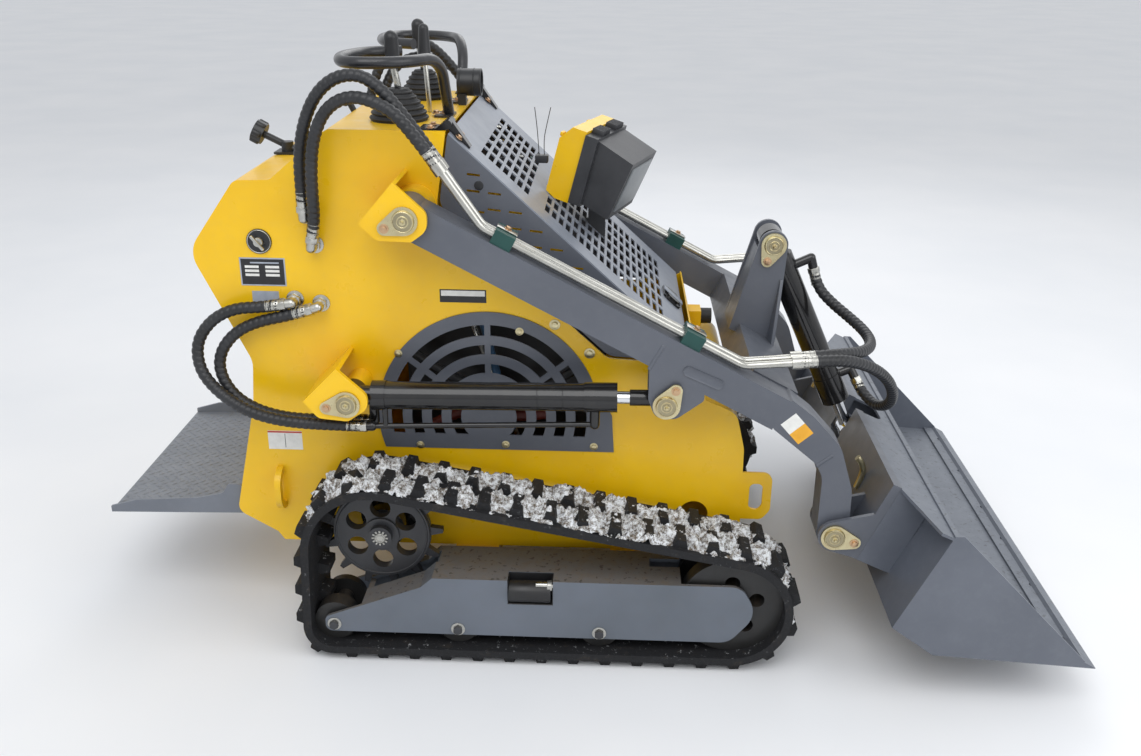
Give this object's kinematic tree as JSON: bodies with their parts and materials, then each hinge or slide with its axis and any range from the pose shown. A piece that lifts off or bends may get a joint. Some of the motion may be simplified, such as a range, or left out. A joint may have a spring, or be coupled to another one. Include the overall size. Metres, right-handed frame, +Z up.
{
  "type": "stand-on tracked mini loader",
  "caption": "Compact stand-on tracked loader with lift arms, tilt cylinder, bucket on a quick attach plate, slotted hood, work lamp, hand rails and folding platform.",
  "frame": {"origin": "centre of the bounding box, on the ground", "axes": "+X forwards to the bucket, +Y to the machine's left, +Z up"},
  "size_m": [2.1941, 1.19, 1.3353],
  "materials": {
    "hull_yellow": "gloss paint, dusty",
    "boom_grey": "satin paint",
    "black_paint": "satin black paint",
    "belt_rubber": "dull, snow on the lugs",
    "soft_rubber": "dull",
    "hose_cover": "spiral wrapped",
    "zinc_steel": "zinc plated",
    "chrome_rod": "polished",
    "worn_steel": "bare worn steel",
    "wheel_iron": "dull paint",
    "engine_iron": "dull",
    "clamp_plastic": "moulded",
    "lamp_plastic": "moulded",
    "lever_plastic": "moulded"
  },
  "bodies": {
    "chassis": {"track_right": "belt_rubber", "track_left": "belt_rubber", "track_frame_right": "boom_grey", "track_frame_left": "boom_grey", "hull_side_right": "hull_yellow", "hull_side_left": "hull_yellow", "sprockets": "wheel_iron", "drive_motors": "black_paint", "grilles": "boom_grey", "tie_rings": "hull_yellow", "hand_rails": "black_paint", "hull_console": "hull_yellow", "hull_rear": "hull_yellow", "hull_floor": "hull_yellow", "track_wheels": "wheel_iron", "cross_beams": "hull_yellow", "engine_block": "engine_iron", "pin_brackets": "hull_yellow", "hood_hinges": "black_paint", "rubber_boots": "soft_rubber", "buffer_brackets": "hull_yellow", "control_levers": "lever_plastic", "console_fittings": "lever_plastic", "hull_fittings": "zinc_steel", "upper_hoses": "hose_cover", "lower_hoses": "hose_cover"},
    "boom": {"arm_right": "boom_grey", "arm_left": "boom_grey", "cross_member": "boom_grey", "tower": "boom_grey", "steel_tubes": "zinc_steel", "tube_clamps": "clamp_plastic", "tilt_hoses": "hose_cover"},
    "lift_barrel_right": {"lift_barrel_right": "black_paint"},
    "lift_rod_right": {"lift_rod_right": "chrome_rod"},
    "lift_barrel_left": {"lift_barrel_left": "black_paint"},
    "lift_rod_left": {"lift_rod_left": "chrome_rod"},
    "tilt_barrel": {"tilt_barrel": "black_paint"},
    "tilt_rod": {"tilt_rod": "chrome_rod"},
    "carrier": {"quick_attach": "boom_grey", "bucket": "boom_grey", "cutting_edge": "worn_steel"},
    "hood": {"hood_top": "boom_grey", "hood_cheeks": "boom_grey", "hood_latch": "zinc_steel", "hinge_leaves": "black_paint", "lamp_bezel": "hull_yellow", "work_lamp": "lamp_plastic"},
    "platform": {"platform_deck": "boom_grey"}
  },
  "joints": [
    {"name": "boom_lift", "type": "hinge", "parent": "chassis", "child": "boom", "pos_m": [-0.343, 0, 0.994], "axis": [0, -1, 0], "range_deg": [-3, 70], "deforming": ["upper_hoses", "lower_hoses"]},
    {"name": "bucket_tilt", "type": "hinge", "parent": "boom", "child": "carrier", "pos_m": [0.56, 0, 0.318], "axis": [0, 1, 0], "range_deg": [-30, 45], "deforming": ["tilt_hoses"]},
    {"name": "lift_barrel_right_swing", "type": "hinge", "parent": "chassis", "child": "lift_barrel_right", "pos_m": [-0.481, -0.395, 0.6], "axis": [0, -1, 0], "range_deg": [-3, 50]},
    {"name": "lift_rod_right_stroke", "type": "slide", "parent": "lift_barrel_right", "child": "lift_rod_right", "axis": [0.9999, 0, 0.0149], "range_m": [-0.02, 0.385]},
    {"name": "lift_barrel_left_swing", "type": "hinge", "parent": "chassis", "child": "lift_barrel_left", "pos_m": [-0.481, 0.395, 0.6], "axis": [0, -1, 0], "range_deg": [-3, 50]},
    {"name": "lift_rod_left_stroke", "type": "slide", "parent": "lift_barrel_left", "child": "lift_rod_left", "axis": [0.9999, 0, 0.0149], "range_m": [-0.02, 0.385]},
    {"name": "tilt_barrel_swing", "type": "hinge", "parent": "boom", "child": "tilt_barrel", "pos_m": [0.44, 0, 0.857], "axis": [0, 1, 0], "range_deg": [-2, 3]},
    {"name": "tilt_rod_stroke", "type": "slide", "parent": "tilt_barrel", "child": "tilt_rod", "axis": [0.4271, 0, -0.9042], "range_m": [-0.065, 0.095]},
    {"name": "hood_hinge", "type": "hinge", "parent": "chassis", "child": "hood", "pos_m": [-0.272, 0, 1.158], "axis": [0, -1, 0], "range_deg": [0, 55]},
    {"name": "platform_fold", "type": "hinge", "parent": "chassis", "child": "platform", "pos_m": [-0.763, 0, 0.271], "axis": [0, 1, 0], "range_deg": [0, 85]}
  ],
  "couplings": [
    {"joint": "lift_barrel_right_swing", "follows": "boom_lift", "ratio": 0.68},
    {"joint": "lift_rod_right_stroke", "follows": "boom_lift", "m_per_rad": 0.31},
    {"joint": "lift_barrel_left_swing", "follows": "boom_lift", "ratio": 0.68},
    {"joint": "lift_rod_left_stroke", "follows": "boom_lift", "m_per_rad": 0.31},
    {"joint": "tilt_barrel_swing", "follows": "bucket_tilt", "ratio": 0.03},
    {"joint": "tilt_rod_stroke", "follows": "bucket_tilt", "m_per_rad": 0.114}
  ]
}
